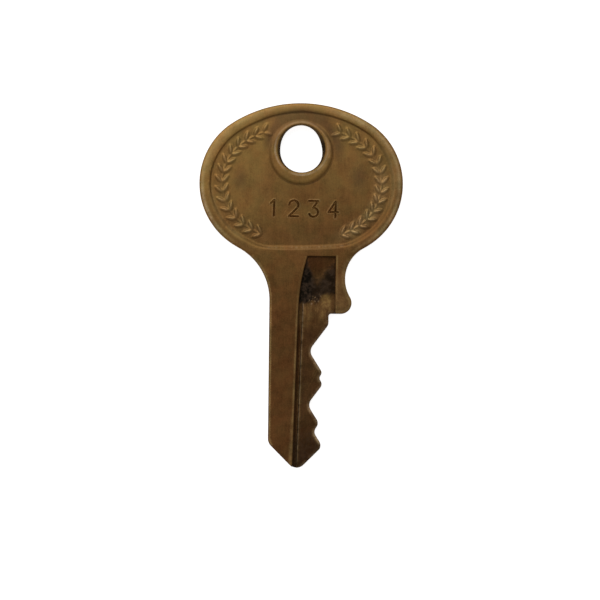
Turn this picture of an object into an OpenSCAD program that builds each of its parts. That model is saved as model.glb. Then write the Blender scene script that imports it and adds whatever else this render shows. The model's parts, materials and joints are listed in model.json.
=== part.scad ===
// Flat key for a pin padlock, struck and cut from one piece of brass, lying on its back.
// X runs across the key towards its cuts, Y runs up to the bow, Z runs out of the front face.
// Y = 0 is half way along the key, X = 0 is the bow's centre line and Z = 0 is the back face.

/* [Blank] */
// Thickness of the brass
stock = 2; // [1.6:0.1:2.6]

/* [Bow] */
// Width of the bow from side to side
bow_w = 24; // [22:0.5:27]
// Height of the bow from its top to its lower arc
bow_h = 19; // [18.5:0.5:21]
// Radius of the bow's left and right ends
bow_end_r = 8.5; // [7.5:0.25:9]
// Width of the raised rim
rim_w = 1.05; // [0.7:0.05:1.4]
// Depth of the field inside the rim
field_depth = 0.25; // [0.15:0.05:0.4]
// Distance from the bow's centre down to the field's lower edge
field_drop = 7.8; // [7.2:0.05:8]
// Radius of the field's lower edge
field_edge_r = 90; // [40:1:160]
// Distance from the bow's centre line to the lowest point of the field's lower edge
field_edge_x = -2.4; // [-3:0.1:3]
// Distance that the die struck off the centre line
strike_x = 0.08; // [-0.2:0.02:0.2]

/* [Ring hole] */
// Diameter of the hole for the ring
hole_d = 5.4; // [4.5:0.1:6]
// Distance from the bow's centre up to the hole
hole_rise = 4.15; // [3.7:0.05:4.4]
// Break on the hole's two edges
hole_break = 0.25; // [0.1:0.05:0.4]
// Width of the raised collar round the hole
collar_w = 1.05; // [0.6:0.05:1.2]
// Distance that the collar sits below the hole
collar_drop = 0.45; // [0:0.05:0.5]

/* [Leaf sprays] */
// Distance from the bow's edge to the middle of a spray
spray_inset = 2.6; // [2.3:0.05:3]
// Length of a spray above the bow's centre line
spray_up = 8.2; // [6:0.1:9]
// Length of a spray below the bow's centre line
spray_down = 8.2; // [6:0.1:9]
// Step from one pair of leaves to the next
leaf_pitch = 1.17; // [0.9:0.01:1.6]
// Length of a leaf
leaf_len = 1.3; // [0.9:0.05:1.4]
// Width of a leaf
leaf_w = 0.46; // [0.3:0.02:0.5]
// Angle between a leaf and its stem
leaf_spread = 40; // [25:1:50]
// Width of the stem
stem_w = 0.18; // [0.12:0.02:0.3]
// Height of the sprays above the field
spray_h = 0.18; // [0.1:0.01:0.2]

/* [Stamped number] */
// Height of a figure
figure_h = 2.1; // [1.6:0.05:2.6]
// Width of a figure
figure_w = 1.3; // [1:0.05:1.5]
// Step from one figure to the next
figure_pitch = 2.33; // [1.9:0.01:2.6]
// Width of a figure's strokes
figure_stroke = 0.2; // [0.12:0.02:0.3]
// Depth of the figures below the field
figure_depth = 0.12; // [0.06:0.02:0.2]
// Distance from the bow's centre to the row's middle, to the right
row_x = 0.25; // [-0.5:0.05:0.5]
// Distance from the bow's centre down to the row
row_drop = 2.95; // [2.5:0.05:3.6]
// Slant of the row of figures
row_slant = -1; // [-3:0.5:3]

/* [Neck] */
// Distance from the bow's centre down to the stop
stop_drop = 15.3; // [14.5:0.1:17]
// Radius of the round lobe that ends in the stop
lobe_r = 1.3; // [1:0.05:1.5]
// Distance from the blade's uncut edge to the lobe's centre
lobe_reach = 1.4; // [1:0.05:2]
// Radius of the waist between the bow and the lobe
waist_r = 4.15; // [3.5:0.05:4.6]
// Radius of the shoulder between the bow and the blade's back
shoulder_r = 7; // [5:0.25:9]
// Radius of the inside corner under the stop
stop_fillet = 0.3; // [0.1:0.05:0.5]

/* [Blade] */
// Distance from the bow's centre line to the blade's back
back_x = 3.6; // [3.2:0.05:4]
// Height of the uncut blade from its back to its edge
blade_h = 7; // [6.5:0.05:7.5]
// Length of the blade from the stop to the tip
blade_len = 18.2; // [17.6:0.1:22]
// Distance from the blade's back to the point of the tip
tip_x = 3.4; // [2.8:0.05:4]
// Radius of the tip
tip_r = 1.15; // [0.5:0.05:1.3]
// Radius where the tip's slope meets the back
heel_r = 1.2; // [0.5:0.05:2]

/* [Cuts] */
// Distance from the stop to the first cut
first_cut = 4.4; // [4.2:0.05:4.9]
// Step from one cut to the next
cut_pitch = 3.175; // [2.8:0.025:3.3]
// Height left above the back at the first cut
root_1 = 4.95; // [4.3:0.05:6.2]
// Height left above the back at the second cut
root_2 = 6.15; // [4.3:0.05:6.2]
// Height left above the back at the third cut
root_3 = 4.85; // [4.3:0.05:6.2]
// Height left above the back at the fourth cut
root_4 = 5.55; // [4.3:0.05:6.2]
// Radius at the root of a cut
root_r = 1.1; // [0.4:0.05:1.3]
// Slope of a cut's flank on the side of the bow
bow_flank = 36.5; // [30:0.5:45]
// Slope of a cut's flank on the side of the tip
tip_flank = 32.5; // [30:0.5:45]

/* [Milling] */
// Depth of the land that carries the cuts, below the front face
land_depth = 0.45; // [0.3:0.05:0.6]
// Distance from the bow's centre down to the land's upper end
land_drop = 8.5; // [8.4:0.05:9.2]
// Distance from the land's far wall to the middle of the lobe
wall_inset = 0.6; // [0.3:0.05:0.9]
// Width of the full-thickness spine where its edge begins to run straight
spine_w = 3.4; // [3:0.05:3.6]
// Width of the full-thickness spine at the tip
spine_tip_w = 2.85; // [2.5:0.05:3.2]
// Distance from the bow's centre down to where the spine's edge runs straight
spine_drop = 14.6; // [13:0.1:15.2]
// Radius of the spine's curved upper end
runout_r = 22.5; // [18:0.5:30]
// Depth of the narrow groove beside the spine, below the front face
groove_depth = 0.85; // [0.65:0.05:1.1]
// Width of the narrow groove
groove_w = 0.55; // [0.4:0.05:0.9]
// Depth of the groove in the back face
back_groove_depth = 0.7; // [0.4:0.05:0.9]
// Width of the groove in the back face
back_groove_w = 1.2; // [0.8:0.05:1.4]
// Distance from the blade's back to the middle of the back groove
back_groove_x = 1.9; // [1.3:0.05:2.1]
// Distance from the bow's centre down to the back groove's round upper end
back_groove_drop = 12.5; // [11.5:0.1:14]

/* [Hidden] */
$fn = 64;

// A cut runs this far past the face that it opens
past = 1;
// Number of facets along a round stretch of an outline
arc_steps = 16;
figures = 4;

bow_y = (stop_drop + blade_len - bow_h / 2) / 2;
end_x = bow_w / 2 - bow_end_r;
// The long arcs of the bow's top and bottom run on smoothly from its ends
long_r = (pow(end_x, 2) + pow(bow_h / 2, 2) - pow(bow_end_r, 2)) / (bow_h - 2 * bow_end_r);
long_drop = long_r - bow_h / 2;
join_angle = atan2(long_drop, end_x);

stop_y = -stop_drop;
edge_x = blade_h - back_x;
lobe = [edge_x + lobe_reach, stop_y + lobe_r];
tip_y = stop_y - blade_len;
// Where the tip's two 45 degree slopes would meet if it weren't rounded
point = [tip_x - back_x, tip_y - tip_r * (sqrt(2) - 1)];
cut_roots = [root_1, root_2, root_3, root_4];
low_y = tip_y - past;

function unit(v) = v / norm(v);
function heading(v) = atan2(v.y, v.x);
function towards(angle, r) = r * [cos(angle), sin(angle)];
function arc(centre, r, from, to) =
    [for (i = [0:arc_steps]) centre + towards(from + (to - from) * i / arc_steps, r)];

// Points that round the corner q of the path p, q, s
function rounded(p, q, s, r) =
    let (
        u = unit(p - q),
        v = unit(s - q),
        half = acos(u * v) / 2,
        centre = q + unit(u + v) * r / sin(half),
        from = heading(q + u * r / tan(half) - centre),
        turn = heading(q + v * r / tan(half) - centre) - from
    )
    arc(centre, r, from, from + turn - 360 * round(turn / 360));

// The closed path without the points that repeat the one before
function distinct(path) =
    [for (i = [0:len(path) - 1]) if (norm(path[i] - path[(i + len(path) - 1) % len(path)]) > 0.001) path[i]];

// The point r_a from a and r_b from b, on the right going from a to b
function crossing(a, r_a, b, r_b) =
    let (
        d = norm(b - a),
        along = (pow(d, 2) + pow(r_a, 2) - pow(r_b, 2)) / (2 * d),
        aside = sqrt(pow(r_a, 2) - pow(along, 2)),
        u = unit(b - a)
    )
    a + along * u + aside * [u.y, -u.x];

// The bow's upper half and its two ends, drawn in from its edge by d
function bow_arch(d) = concat(
    arc([end_x, 0], bow_end_r - d, -join_angle, join_angle),
    arc([0, -long_drop], long_r - d, join_angle, 180 - join_angle),
    arc([-end_x, 0], bow_end_r - d, 180 - join_angle, 180 + join_angle)
);

// Centres of the round corners of the neck: the long lower arc, the shoulder and the waist
low_arc = [0, long_drop];
shoulder_x = -back_x - shoulder_r;
shoulder = [shoulder_x, long_drop - sqrt(pow(long_r + shoulder_r, 2) - pow(shoulder_x, 2))];
waist = crossing(lobe, lobe_r + waist_r, low_arc, long_r + waist_r);

// Path of a spray: the distance s is counted upwards from the bow's right-hand end
spray_end_r = bow_end_r - spray_inset;
spray_long_r = long_r - spray_inset;
spray_bend = spray_end_r * join_angle * PI / 180;
function on_long(s) = join_angle + (abs(s) - spray_bend) / spray_long_r * 180 / PI;
function spray_normal(s) =
    abs(s) <= spray_bend ? s / spray_end_r * 180 / PI : sign(s) * on_long(s);
function spray_point(s) =
    abs(s) <= spray_bend
    ? [end_x, 0] + towards(spray_normal(s), spray_end_r)
    : [0, -sign(s) * long_drop] + towards(spray_normal(s), spray_long_r);

// The spine's edge, seen from the front, at the height y
spine_slope = (spine_w - spine_tip_w) / (blade_len + stop_drop - spine_drop);
function spine_edge(y) = spine_w - back_x + spine_slope * (y + spine_drop);

// The blank's outline, anticlockwise from the waist
module blank() {
    heel = [-back_x, point.y + tip_x];
    toe = [edge_x, point.y + blade_h - tip_x];
    corner = [edge_x, stop_y];
    shoulder_turn = heading(low_arc - shoulder);
    waist_to_bow = heading(low_arc - waist);
    waist_to_lobe = heading(lobe - waist);
    polygon(distinct(concat(
        arc(low_arc, long_r, waist_to_bow - 180, -join_angle),
        bow_arch(0),
        arc(low_arc, long_r, 180 + join_angle, 180 + shoulder_turn),
        arc(shoulder, shoulder_r, shoulder_turn, 0),
        rounded(shoulder + [shoulder_r, 0], heel, point, heel_r),
        rounded(heel, point, toe, tip_r),
        [toe],
        rounded(toe, corner, corner + [1, 0], stop_fillet),
        arc(lobe, lobe_r, -90, waist_to_lobe + 180),
        arc(waist, waist_r, waist_to_lobe + 360, waist_to_bow)
    )));
}

// One cut, open to the right, with its root at a height above the back
module cut(height) {
    reach = blade_h + past - height;
    // The rounding lifts the root by this share of its radius
    lift = cos((bow_flank - tip_flank) / 2) / cos((bow_flank + tip_flank) / 2) - 1;
    root = [height - back_x - root_r * lift, 0];
    up = root + [reach, reach / tan(bow_flank)];
    down = root + [reach, -reach / tan(tip_flank)];
    polygon(concat([up], rounded(up, root, down, root_r), [down]));
}

module outline() {
    difference() {
        blank();
        for (i = [0:len(cut_roots) - 1])
            translate([0, stop_y - first_cut - i * cut_pitch]) cut(cut_roots[i]);
    }
}

// The struck field, without the collar that stands round the hole
module field() {
    difference() {
        intersection() {
            polygon(distinct(concat(
                bow_arch(rim_w),
                arc(low_arc, long_r - rim_w, 180 + join_angle, 360 - join_angle)
            )));
            translate([field_edge_x, field_edge_r - field_drop]) circle(field_edge_r, $fn = 256);
        }
        translate([0, hole_rise - collar_drop]) circle(hole_d / 2 + collar_w);
    }
}

module leaf() {
    r = (pow(leaf_len, 2) / leaf_w + leaf_w) / 4;
    intersection() {
        translate([leaf_len / 2, r - leaf_w / 2]) circle(r);
        translate([leaf_len / 2, leaf_w / 2 - r]) circle(r);
    }
}

// Part of a ring of width w, between two angles
module ring_part(centre, r, w, from, to) {
    translate(centre)
        intersection() {
            difference() {
                circle(r + w / 2);
                circle(r - w / 2);
            }
            polygon(concat([[0, 0]], arc([0, 0], 2 * r, from, to)));
        }
}

// The right-hand spray: a stem with leaves in pairs that point up to the hole
module spray() {
    for (s = [-spray_down:leaf_pitch:spray_up])
        for (side = [-1, 1])
            translate(spray_point(s))
                rotate(spray_normal(s) + 90 + side * leaf_spread) leaf();
    ring_part([end_x, 0], spray_end_r, stem_w, -join_angle - 1, join_angle + 1);
    ring_part([0, -long_drop], spray_long_r, stem_w, join_angle, on_long(spray_up));
    ring_part([0, long_drop], spray_long_r, stem_w, -on_long(spray_down), -join_angle);
}

module sprays() {
    spray();
    mirror([1, 0]) spray();
}

// A straight stroke from one point to another
module stroke(from, to) {
    translate(from)
        rotate(heading(to - from))
            translate([-figure_stroke / 2, -figure_stroke / 2])
                square([norm(to - from) + figure_stroke, figure_stroke]);
}

// One plain figure, from 1 to 4, centred on the origin
module figure(n) {
    w = (figure_w - figure_stroke) / 2;
    h = (figure_h - figure_stroke) / 2;
    if (n == 1) {
        stroke([0, -h], [0, h]);
        stroke([0, h], [-w * 0.7, h - w * 0.7]);
    }
    if (n == 2) {
        ring_part([0, h - w], w, figure_stroke, -35, 180);
        stroke([0, h - w] + towards(-35, w), [-w, -h]);
        stroke([-w, -h], [w, -h]);
    }
    if (n == 3) {
        stroke([-w, h], [w, h]);
        stroke([w, h], [0, 2 * w - h]);
        ring_part([0, w - h], w, figure_stroke, -160, 95);
    }
    if (n == 4) {
        stroke([w / 2, -h], [w / 2, h]);
        stroke([w / 2, h], [-w, -h / 3]);
        stroke([-w, -h / 3], [w, -h / 3]);
    }
}

module number() {
    translate([row_x, -row_drop])
        rotate(row_slant)
            for (n = [1:figures])
                translate([(n - (figures + 1) / 2) * figure_pitch, 0]) figure(n);
}

// The front land, from the spine's edge out past the cuts
module land() {
    wall_x = lobe.x - wall_inset;
    lower = [spine_edge(low_y), low_y];
    start = [spine_edge(-spine_drop), -spine_drop];
    slant = heading(start - lower);
    centre = start + towards(slant - 90, runout_r);
    polygon(concat(
        [lower],
        arc(centre, runout_r, slant + 90, 180 - asin((-land_drop - centre.y) / runout_r)),
        [[wall_x, -land_drop], [wall_x, low_y]]
    ));
}

// The deep narrow groove that runs down beside the spine
module groove() {
    start = [spine_edge(-spine_drop), -spine_drop];
    lower = [spine_edge(low_y), low_y];
    polygon([start, lower, lower + [groove_w, 0], start + [groove_w, 0]]);
}

module back_groove() {
    x = back_groove_x - back_x;
    half = back_groove_w / 2;
    polygon(concat(arc([x, -back_groove_drop], half, 0, 180), [[x - half, low_y], [x + half, low_y]]));
}

// What the die struck away, going up from the tops of the sprays
module struck_away() {
    translate([strike_x, 0, 0]) {
        linear_extrude(field_depth - spray_h + past) field();
        translate([0, 0, -spray_h])
            linear_extrude(field_depth + past)
                difference() {
                    field();
                    sprays();
                }
    }
}

module ring_hole() {
    translate([0, hole_rise, -past]) cylinder(h = stock + 2 * past, d = hole_d);
    for (face = [0, 1])
        translate([0, hole_rise, face * stock])
            mirror([0, 0, face])
                translate([0, 0, -past])
                    cylinder(h = hole_break + past, r1 = hole_d / 2 + hole_break + past, r2 = hole_d / 2);
}

module key() {
    color([0.45, 0.34, 0.18])
        translate([0, bow_y, 0])
            difference() {
                linear_extrude(stock) outline();
                translate([0, 0, stock - field_depth + spray_h]) struck_away();
                translate([0, 0, field_depth - spray_h]) mirror([0, 0, 1]) struck_away();
                translate([strike_x, 0, stock - field_depth - figure_depth])
                    linear_extrude(figure_depth + past) number();
                translate([0, 0, stock - land_depth]) linear_extrude(land_depth + past) land();
                translate([0, 0, stock - groove_depth]) linear_extrude(groove_depth + past) groove();
                translate([0, 0, -past]) linear_extrude(past + back_groove_depth) back_groove();
                ring_hole();
            }
}

key();
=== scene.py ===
import json
import math

import bpy
import numpy as np
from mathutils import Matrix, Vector, kdtree, noise
from mathutils.geometry import delaunay_2d_cdt


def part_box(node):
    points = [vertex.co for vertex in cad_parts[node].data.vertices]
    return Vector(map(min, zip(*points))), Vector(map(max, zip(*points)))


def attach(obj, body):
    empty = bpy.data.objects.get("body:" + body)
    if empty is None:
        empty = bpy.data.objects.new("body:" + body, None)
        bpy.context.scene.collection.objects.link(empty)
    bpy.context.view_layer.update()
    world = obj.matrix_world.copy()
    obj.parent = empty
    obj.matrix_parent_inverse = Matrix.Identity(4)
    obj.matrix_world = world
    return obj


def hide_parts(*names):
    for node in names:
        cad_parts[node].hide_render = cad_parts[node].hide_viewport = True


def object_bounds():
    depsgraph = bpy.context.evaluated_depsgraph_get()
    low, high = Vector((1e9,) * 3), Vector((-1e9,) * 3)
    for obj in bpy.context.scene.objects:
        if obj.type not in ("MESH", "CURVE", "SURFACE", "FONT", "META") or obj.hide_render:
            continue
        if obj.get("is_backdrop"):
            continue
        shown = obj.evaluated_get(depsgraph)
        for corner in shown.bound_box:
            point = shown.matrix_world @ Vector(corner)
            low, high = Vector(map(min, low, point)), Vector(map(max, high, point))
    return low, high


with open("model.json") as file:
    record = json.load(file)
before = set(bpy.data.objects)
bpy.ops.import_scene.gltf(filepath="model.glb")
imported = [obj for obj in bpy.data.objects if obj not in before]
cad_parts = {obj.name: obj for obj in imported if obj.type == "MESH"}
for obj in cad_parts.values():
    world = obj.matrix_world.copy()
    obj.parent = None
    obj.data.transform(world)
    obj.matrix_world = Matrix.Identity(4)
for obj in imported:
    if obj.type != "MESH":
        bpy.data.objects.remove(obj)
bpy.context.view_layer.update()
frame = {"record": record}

# The blank of the key: an oval bow, a waisted neck and a flat blade, punched from sheet brass.
# The four cuts were milled into the blade's edge afterwards, and the pins have worn their peaks
# round. Lengths are in millimetres, and points are measured from the middle of the bow.
MM = 0.001
low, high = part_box("key")
stock = (high.z - low.z) / MM
bow_w = (high.x - low.x) / MM
key_len = (high.y - low.y) / MM
bow_h = 19.0
bow_end_r = 8.5
bow_y = (key_len - bow_h) / 2

end_x = bow_w / 2 - bow_end_r
long_r = (end_x**2 + (bow_h / 2) ** 2 - bow_end_r**2) / (bow_h - 2 * bow_end_r)
long_drop = long_r - bow_h / 2
join = math.atan2(long_drop, end_x)

back_x = 3.6
blade_h = 7.0
blade_len = 18.2
stop_y = bow_h / 2 + blade_len - key_len
edge_x = blade_h - back_x
lobe_r = 1.3
lobe_reach = 1.4
lobe = np.array([edge_x + lobe_reach, stop_y + lobe_r])
waist_r = 4.15
shoulder_r = 7.0
stop_fillet = 0.3
tip_x = 3.4
tip_r = 1.15
heel_r = 1.2
tip_y = stop_y - blade_len
point = np.array([tip_x - back_x, tip_y - tip_r * (math.sqrt(2) - 1)])

first_cut = 4.4
cut_pitch = 3.175
cut_roots = (4.95, 6.15, 4.85, 5.55)
root_r = 1.1
peak_r = 0.75
bow_slope = math.tan(math.radians(36.5))
tip_slope = math.tan(math.radians(32.5))
side_share = 0.48
edge_step = 0.13
same_place = 0.01


def unit(v):
    return v / np.linalg.norm(v)


def heading(v):
    return math.atan2(v[1], v[0])


def arc(centre, r, start, end, step=0.12):
    angles = np.linspace(start, end, max(3, math.ceil(abs(end - start) * r / step)) + 1)
    return centre + r * np.c_[np.cos(angles), np.sin(angles)]


def crossing(a, r_a, b, r_b):
    """The point r_a from a and r_b from b, on the right going from a to b."""
    d = np.linalg.norm(b - a)
    along = (d**2 + r_a**2 - r_b**2) / (2 * d)
    u = (b - a) / d
    return a + along * u + math.sqrt(r_a**2 - along**2) * np.array([u[1], -u[0]])


def rounded(corners):
    """The path through corners (x, y, radius), each rounded as far as its neighbours allow."""
    path = [corners[0][:2]]
    for before, (x, y, r), after in zip(corners, corners[1:], corners[2:]):
        q = np.array([x, y])
        u, v = before[:2] - q, after[:2] - q
        half = math.acos(np.dot(unit(u), unit(v))) / 2
        room = side_share * min(np.linalg.norm(u), np.linalg.norm(v))
        reach = min(r / math.tan(half), room)
        r = reach * math.tan(half)
        centre = q + unit(unit(u) + unit(v)) * r / math.sin(half)
        start = heading(q + unit(u) * reach - centre)
        turn = heading(q + unit(v) * reach - centre) - start
        path.extend(arc(centre, r, start, start + turn - math.tau * round(turn / math.tau)))
    path.append(corners[-1][:2])
    return np.array(path)


def evened(path, step, closed=False):
    """The path without repeated points, and with points added where they are far apart."""
    ends = np.roll(path, -1, axis=0) if closed else path[1:]
    out = []
    for a, b in zip(path, ends):
        length = np.linalg.norm(b - a)
        if length > same_place:
            count = math.ceil(length / step)
            out.extend(a + (b - a) * i / count for i in range(count))
    return np.array(out if closed else [*out, path[-1]])


def cut_side():
    """Corners of the blade's cut side, from the tip up to the first cut's flank."""
    lift = 1 / math.cos((math.atan(bow_slope) + math.atan(tip_slope)) / 2) - 1
    roots = [
        (h - root_r * lift, stop_y - first_cut - i * cut_pitch) for i, h in enumerate(cut_roots)
    ]
    h, y = roots[-1]
    peak = (h - tip_x + tip_slope * y + point[1]) / (1 + tip_slope)
    corners = [(tip_x + peak - point[1], peak, peak_r)]
    for (h, y), (h_up, y_up) in zip(roots[:0:-1], roots[-2::-1]):
        corners.append((h, y, root_r))
        peak = (h_up - h + tip_slope * y_up + bow_slope * y) / (bow_slope + tip_slope)
        corners.append((h_up + tip_slope * (y_up - peak), peak, peak_r))
    h, y = roots[0]
    corners.append((h, y, root_r))
    corners.append((blade_h, y + (blade_h - h) / bow_slope, peak_r))
    return [np.array([h - back_x, y, r]) for h, y, r in corners]


low_arc = np.array([0, long_drop])
shoulder = np.array([-back_x - shoulder_r, 0.0])
shoulder[1] = long_drop - math.sqrt((long_r + shoulder_r) ** 2 - shoulder[0] ** 2)
waist = crossing(lobe, lobe_r + waist_r, low_arc, long_r + waist_r)
shoulder_turn = heading(low_arc - shoulder)
waist_to_bow = heading(low_arc - waist)
waist_to_lobe = heading(lobe - waist)
blade_sides = rounded(
    [
        np.array([-back_x, shoulder[1], 0]),
        np.array([-back_x, point[1] + tip_x, heel_r]),
        np.array([*point, tip_r]),
        *cut_side(),
        np.array([edge_x, stop_y, stop_fillet]),
        np.array([lobe[0], stop_y, 0]),
    ]
)
outline = np.concatenate(
    [
        arc(low_arc, long_r, waist_to_bow - math.pi, -join),
        arc([end_x, 0], bow_end_r, -join, join),
        arc([0, -long_drop], long_r, join, math.pi - join),
        arc([-end_x, 0], bow_end_r, math.pi - join, math.pi + join),
        arc(low_arc, long_r, math.pi + join, math.pi + shoulder_turn),
        arc(shoulder, shoulder_r, shoulder_turn, 0),
        blade_sides,
        arc(lobe, lobe_r, -math.pi / 2, waist_to_lobe + math.pi),
        arc(waist, waist_r, waist_to_lobe + math.tau, waist_to_bow),
    ]
)
outline = evened(outline, edge_step, closed=True)
ahead = np.roll(outline, -1, axis=0) - np.roll(outline, 1, axis=0)
ahead /= np.linalg.norm(ahead, axis=1)[:, None]
inward = np.c_[-ahead[:, 1], ahead[:, 0]]


def tree_of(points):
    tree = kdtree.KDTree(len(points))
    for i, (x, y) in enumerate(points):
        tree.insert((x, y, 0), i)
    tree.balance()
    return tree


outline_tree = tree_of(outline)


def nearest_edge(p):
    return np.array([outline_tree.find((x, y, 0))[1] for x, y in p])


def from_edge(p):
    """Distance of points in from the blank's edge."""
    nearest = nearest_edge(p)
    away = p - outline[nearest]
    along = (away * ahead[nearest]).sum(axis=1)
    along = np.clip(along, -edge_step / 2, edge_step / 2)
    distance = np.sqrt(np.maximum((away**2).sum(axis=1) - along**2, 0))
    return np.copysign(distance, (away * inward[nearest]).sum(axis=1))


# The struck face: a die pushes the face down inside a raised rim and round a raised collar, a
# little off the blank's middle. Its walls are steep at the rim and the collar and gentle over
# the neck. Wear has rolled the outer edge over. Both faces are struck alike.
strike_x = 0.08
rim_w = 1.05
field_depth = 0.25
field_edge_r = 90.0
field_drop = 7.8
field_edge_x = -2.4
hole_r = 2.7
collar_w = 1.05
collar_drop = 0.45
collar_aside = 0.07
ring = next(m for m in frame["record"]["mounts"] if m["name"] == "ring_hole")
hole = np.array([ring["pos_m"][0] / MM, ring["pos_m"][1] / MM - bow_y])
collar = hole - [collar_aside, collar_drop]
end_rim = 0.16
rim_wall = (-0.13, 0.09)
collar_wall = (-0.25, 0.1)
neck_wall = (-0.08, 0.54)
roll_w = 0.9
roll_drop = 0.06


def ease(t):
    t = np.clip(t, 0, 1)
    return t * t * (3 - 2 * t)


def step_over(e, span):
    """0 before the span, 1 past it, and a smooth step between."""
    return ease((e - span[0]) / (span[1] - span[0]))


def bump(e, middle, half):
    """A smooth hump of height 1 around the middle, and 0 further than half from it."""
    return ease(1 - np.abs(e - middle) / half)


def from_bow_edge(p):
    """Distance of points in from the bow's whole oval."""
    x, y = np.abs(p[:, 0]), np.abs(p[:, 1])
    round_end = (x > end_x) & (np.arctan2(y, x - end_x) < join)
    return np.where(
        round_end, bow_end_r - np.hypot(x - end_x, y), long_r - np.hypot(x, y + long_drop)
    )


def from_point(p, centre):
    return np.hypot(p[:, 0] - centre[0], p[:, 1] - centre[1])


def field_edges(p):
    """Distances of points into the field from its rim, from the neck and from its collar."""
    q = p - [strike_x, 0]
    return (
        from_bow_edge(q) - rim_w - end_rim * np.abs(2 * q[:, 0] / bow_w),
        field_edge_r - from_point(q, (field_edge_x, field_edge_r - field_drop)),
        from_point(p, collar) - hole_r - collar_w,
    )


def facing(p, centre, way):
    """1 for points that lie from the centre in the given way, in degrees, and -1 opposite."""
    turn = np.arctan2(p[:, 1] - centre[1], p[:, 0] - centre[0])
    return np.cos(turn - math.radians(way))


def struck(p):
    """1 where the die pushed the face down all the way, and 0 where it stands at full height."""
    rim, neck, round_hole = field_edges(p)
    # The rim's wall leans more in the lower half, and the rim is broader at its upper left
    low = step_over(facing(p, (0, 0), -70), (-0.35, 0.2))
    broad = step_over(facing(p, (0, 0), 142), (0.85, 0.98))
    # The collar fades out into the field above the hole
    high = np.maximum(facing(p, collar, 115), 0)
    return (
        step_over((rim - 0.15 * low - 0.09 * broad) / (1 + 2 * low), rim_wall)
        * step_over(neck, neck_wall)
        * step_over(round_hole / (1 + high), collar_wall)
        * (1 - 0.5 * high * np.exp(-((round_hole / 1.4) ** 2)))
    )


# The milled side: a cutter takes the front down to a land beside a full-thickness spine, and a
# deep narrow groove follows the spine to the tip with a burr standing on its far side. A plain
# groove runs down the back.
land_depth = 0.45
land_drop = 8.5
wall_inset = 0.6
land_wall_x = lobe[0] - wall_inset
spine_w = 3.4
spine_tip_w = 2.85
spine_drop = 14.6
runout_r = 22.5
groove_depth = 0.85
groove_w = 0.55
groove_run = 2.4
burr_h = 0.05
back_groove_depth = 0.7
back_groove_w = 1.2
back_groove_inset = 1.9
back_groove_x = back_groove_inset - back_x
back_groove_drop = 12.5
spine_slope = (spine_w - spine_tip_w) / (spine_drop + tip_y)
spine_top = np.array([spine_w - back_x, -spine_drop])
spine_up = unit(np.array([-spine_slope, 1.0]))
spine_right = np.array([spine_up[1], -spine_up[0]])
runout = spine_top + runout_r * spine_right
spine_shoulder = (-0.3, -0.12)
land_wall = (-0.02, 0.03, 0.08)
groove_lines = (0.88, 0.96, 1.02, 1.2)
back_groove_wall = (-0.06, 0.02)


def from_spine(p):
    """Distance of points to the right of the spine's edge."""
    q = p - spine_top
    bent = runout_r - from_point(p, runout)
    return np.where(q @ spine_up > 0, bent, q @ spine_right)


def from_land_edge(p):
    """Distance of points into the milled land."""
    return np.minimum(from_spine(p), np.minimum(-land_drop - p[:, 1], land_wall_x - p[:, 0]))


def land_line(e):
    """The line at the distance e in from the land's edge, from the tip up and down to the stop."""
    top = -land_drop - e
    r = runout_r - e
    right = land_wall_x - e
    end = math.pi - math.asin((top - runout[1]) / r)
    foot = spine_top + e * spine_right - key_len * spine_up
    return np.concatenate(
        [
            [foot],
            arc(runout, r, heading(-spine_right), end),
            [[right, top], [right, stop_y - 1]],
        ]
    )


def groove_line(share):
    """The line that runs beside the spine at a share of the groove's width."""
    top = spine_top + share * groove_w * spine_right
    return np.array([top - key_len * spine_up, top])


def milled(p):
    """Depth of the front milling at points."""
    share = from_spine(p) / groove_w
    in_groove = step_over(-p[:, 1], (spine_drop - groove_run / 2, spine_drop + groove_run / 2))
    deep = np.interp(share, groove_lines[:2], (1, 0)) * in_groove
    burr = np.interp(share, groove_lines[1:], (0, 1, 0)) * in_groove
    depth = land_depth + (groove_depth - land_depth) * deep - burr_h * burr
    return depth * np.interp(from_land_edge(p), land_wall, (0, 0.05, 1))


def from_back_groove(p):
    """Distance of points out from the edge of the back groove."""
    above = np.maximum(p[:, 1] + back_groove_drop, 0)
    return np.hypot(p[:, 0] - back_groove_x, above) - back_groove_w / 2


def back_groove_line(e):
    r = back_groove_w / 2 + e
    top = np.array([back_groove_x, -back_groove_drop])
    down = np.array([0, key_len])
    return np.concatenate(
        [[top + [r, 0] - down], arc(top, r, 0, math.pi), [top - [r, 0] - down]]
    )


# Grime packed in the upper end of the land: pocket dirt and old oil, dried to a black crust
# with a ragged lower border, thickest along the two walls and worn through in the middle.
grime_h = 0.13
grime_top = -10.3
grime_low = -14.15
lump_size = 0.6


def mottle(p, size, seed, octaves=3):
    """Smooth noise from about -1 to 1 at points, in blotches of the given size."""
    return np.array(
        [noise.fractal((x / size, y / size, seed), 0.8, 2.0, octaves) for x, y in p]
    )


def grime(p):
    """Cover of the crust at points, from 0 to 1."""
    x, y = p.T
    lower = grime_low + 0.45 * bump(x, 1.5, 0.35) + 1.05 * step_over(x, (2.0, 2.7))
    lower += 0.22 * mottle(p, lump_size, seed=7.3)
    upper = grime_top + 1.1 * bump(x, 0.3, 1.3) + 0.7 * bump(x, 4.1, 1.2)
    upper = upper - 1.3 * bump(x, 2.1, 1.1) + 0.35 * mottle(p, lump_size, seed=3.1)
    cover = step_over(y - lower, (-0.3, 0.45)) * step_over(upper - y, (-1.1, 0.9))
    cover = cover * (1 - 0.25 * step_over(x, (0.8, 1.8)))
    return cover * step_over(from_land_edge(p), (0.02, 0.12))


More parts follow.
